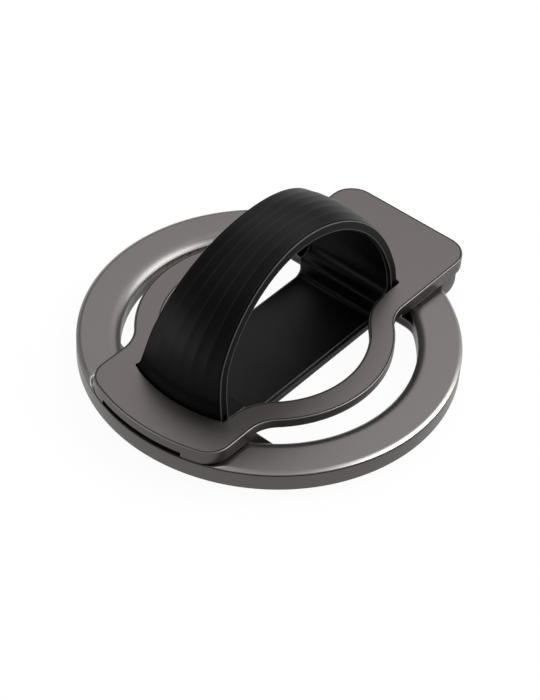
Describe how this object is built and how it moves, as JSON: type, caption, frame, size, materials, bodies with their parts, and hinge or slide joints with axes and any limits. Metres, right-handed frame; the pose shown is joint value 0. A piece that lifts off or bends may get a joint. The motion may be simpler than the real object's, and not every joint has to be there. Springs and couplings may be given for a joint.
{
  "type": "phone ring holder",
  "caption": "Round magnetic phone holder with a hinged metal stand frame and a tapering silicone finger loop.",
  "frame": {"origin": "centre of the magnet ring on the flat underside of the pad, which meets the phone", "axes": "+Z away from the phone, +Y along the loop towards the hinge, +X across the loop"},
  "size_m": [0.058, 0.0632, 0.0268],
  "materials": {
    "satin_gunmetal": "satin anodised gunmetal grey",
    "black_silicone": "satin",
    "pad_silicone": "matt",
    "magnet_nickel": "nickel plated",
    "steel": "satin",
    "spring_bronze": "satin"
  },
  "bodies": {
    "base": {"base_ring": "satin_gunmetal", "base_pad": "pad_silicone", "magnet_shield": "steel", "friction_sleeve": "spring_bronze", "left_hinge_washer": "spring_bronze", "right_hinge_washer": "spring_bronze", "magnet_01": "magnet_nickel", "magnet_02": "magnet_nickel", "magnet_03": "magnet_nickel", "magnet_04": "magnet_nickel", "magnet_05": "magnet_nickel", "magnet_06": "magnet_nickel", "magnet_07": "magnet_nickel", "magnet_08": "magnet_nickel", "magnet_09": "magnet_nickel", "magnet_10": "magnet_nickel", "magnet_11": "magnet_nickel", "magnet_12": "magnet_nickel", "magnet_13": "magnet_nickel", "magnet_14": "magnet_nickel", "magnet_15": "magnet_nickel", "magnet_16": "magnet_nickel"},
    "stand": {"stand_frame": "satin_gunmetal", "finger_loop": "black_silicone", "front_clamp_strip": "steel", "rear_clamp_strip": "steel", "front_clamp_screws": "steel", "rear_clamp_screws": "steel", "hinge_pin": "steel"}
  },
  "joints": [
    {"name": "stand_hinge", "type": "hinge", "parent": "base", "child": "stand", "pos_m": [0, 0.0291, 0.0028], "axis": [-1, 0, 0], "range_deg": [0, 40]}
  ]
}
